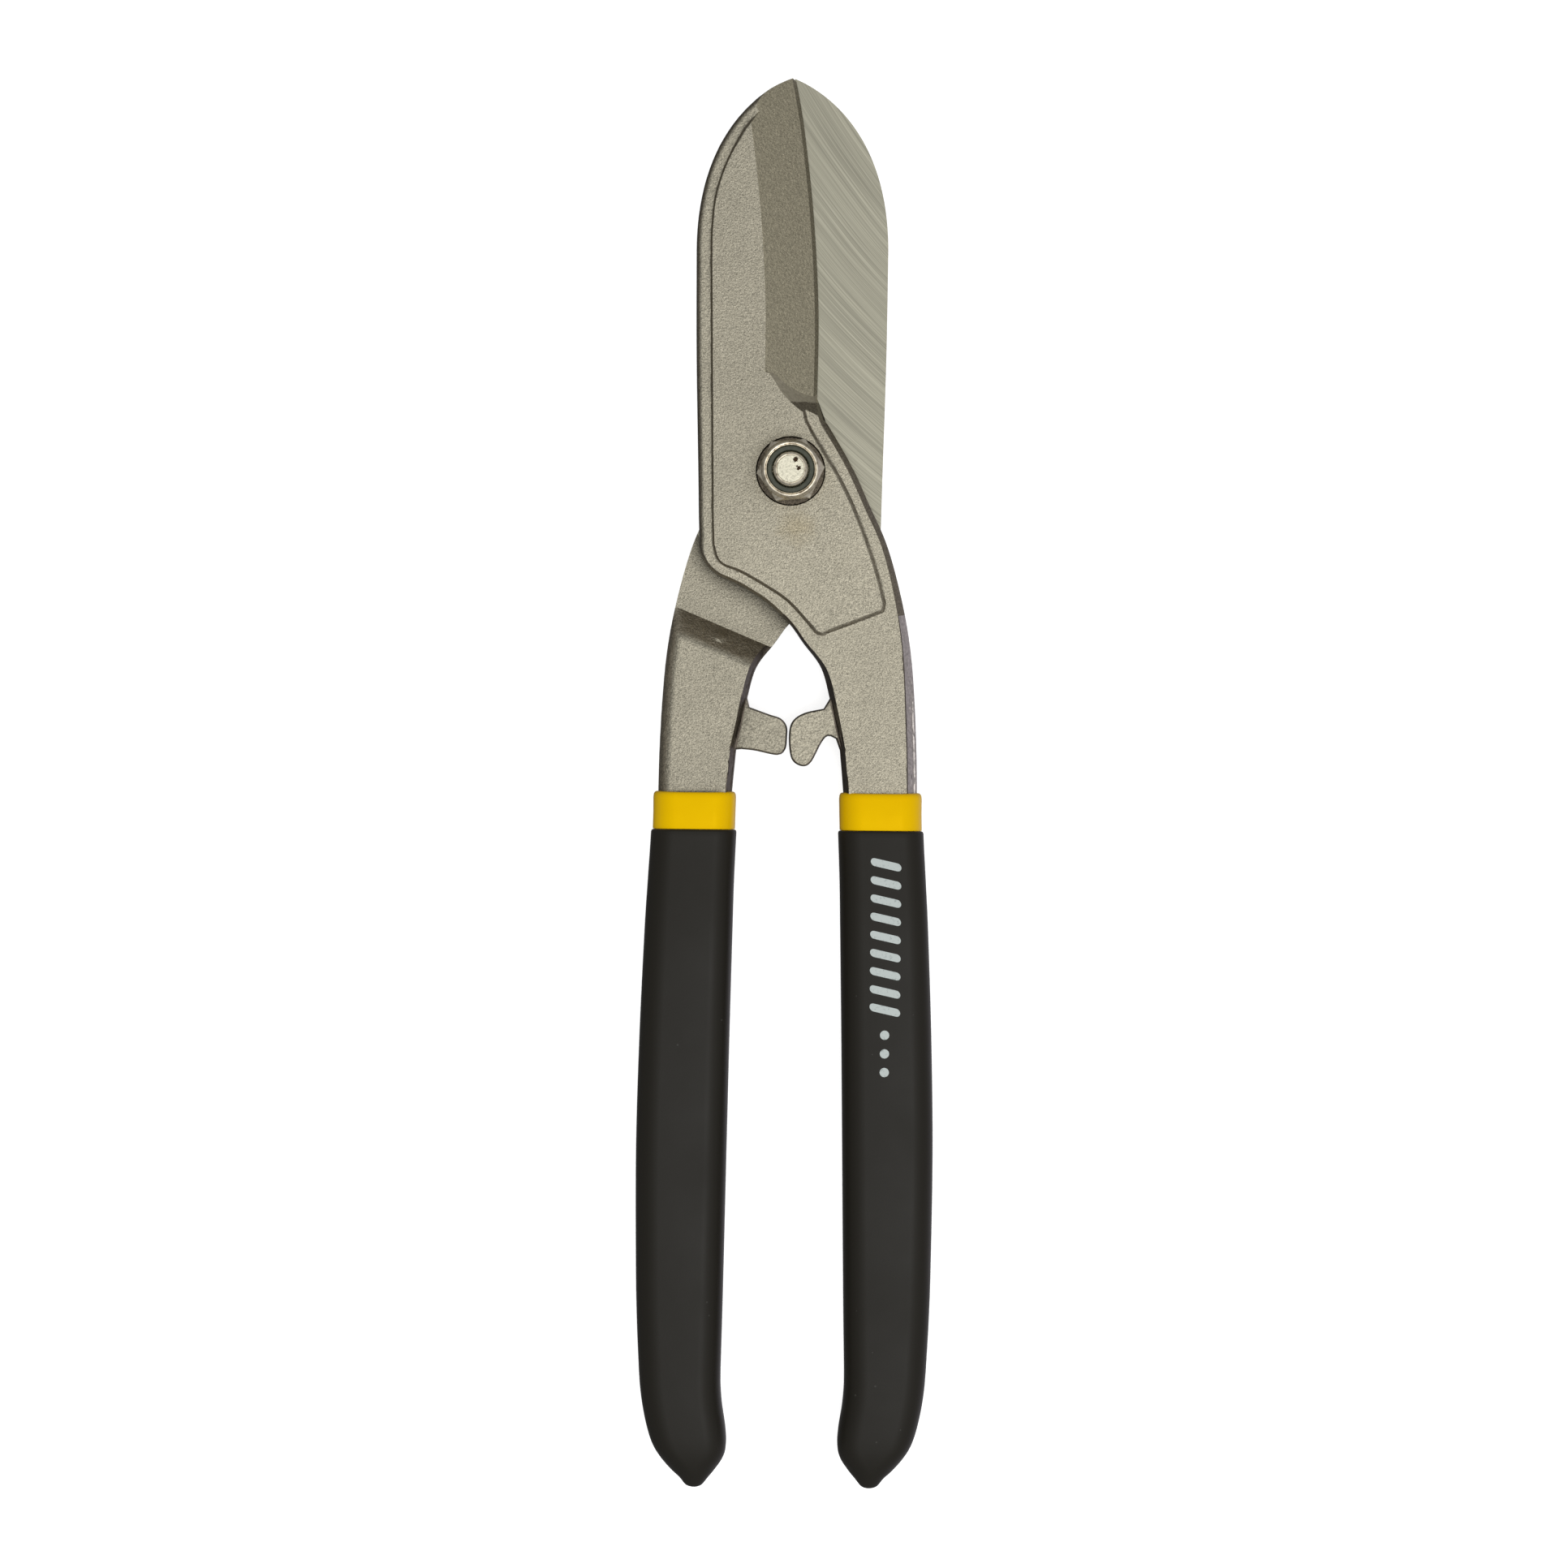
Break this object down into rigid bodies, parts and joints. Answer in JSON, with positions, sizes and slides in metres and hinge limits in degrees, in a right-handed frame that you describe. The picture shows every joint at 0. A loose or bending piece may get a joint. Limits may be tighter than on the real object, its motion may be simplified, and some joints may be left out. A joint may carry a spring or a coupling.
{
  "type": "tin snips",
  "caption": "Forged straight-pattern tin snips, closed, with a bolted pivot, stop tabs behind it and vinyl-dipped handles.",
  "frame": {"origin": "under the middle of the outline, on the plane that the closed tool lies on", "axes": "+Y towards the blade tips, +Z out of the front face, where the nut is, and +X to the right"},
  "size_m": [0.0642, 0.3045, 0.0224],
  "materials": {
    "forged_steel": "bead-blasted forging, with ground cutting faces and bevels",
    "plated_steel": "bright zinc plate",
    "nylon": "dull grey-green nylon ring",
    "yellow_vinyl": "glossy dipped vinyl",
    "black_vinyl": "satin dipped vinyl"
  },
  "bodies": {
    "rear_side": {"rear_lever": "forged_steel", "pivot_bolt": "plated_steel", "lock_nut": "plated_steel", "nut_insert": "nylon", "left_undercoat": "yellow_vinyl", "left_grip": "black_vinyl"},
    "front_side": {"front_lever": "forged_steel", "right_undercoat": "yellow_vinyl", "right_grip": "black_vinyl"}
  },
  "joints": [
    {"name": "blade_pivot", "type": "hinge", "parent": "rear_side", "child": "front_side", "pos_m": [0, 0.06725, 0.008], "axis": [0, 0, 1], "range_deg": [0, 50]}
  ]
}
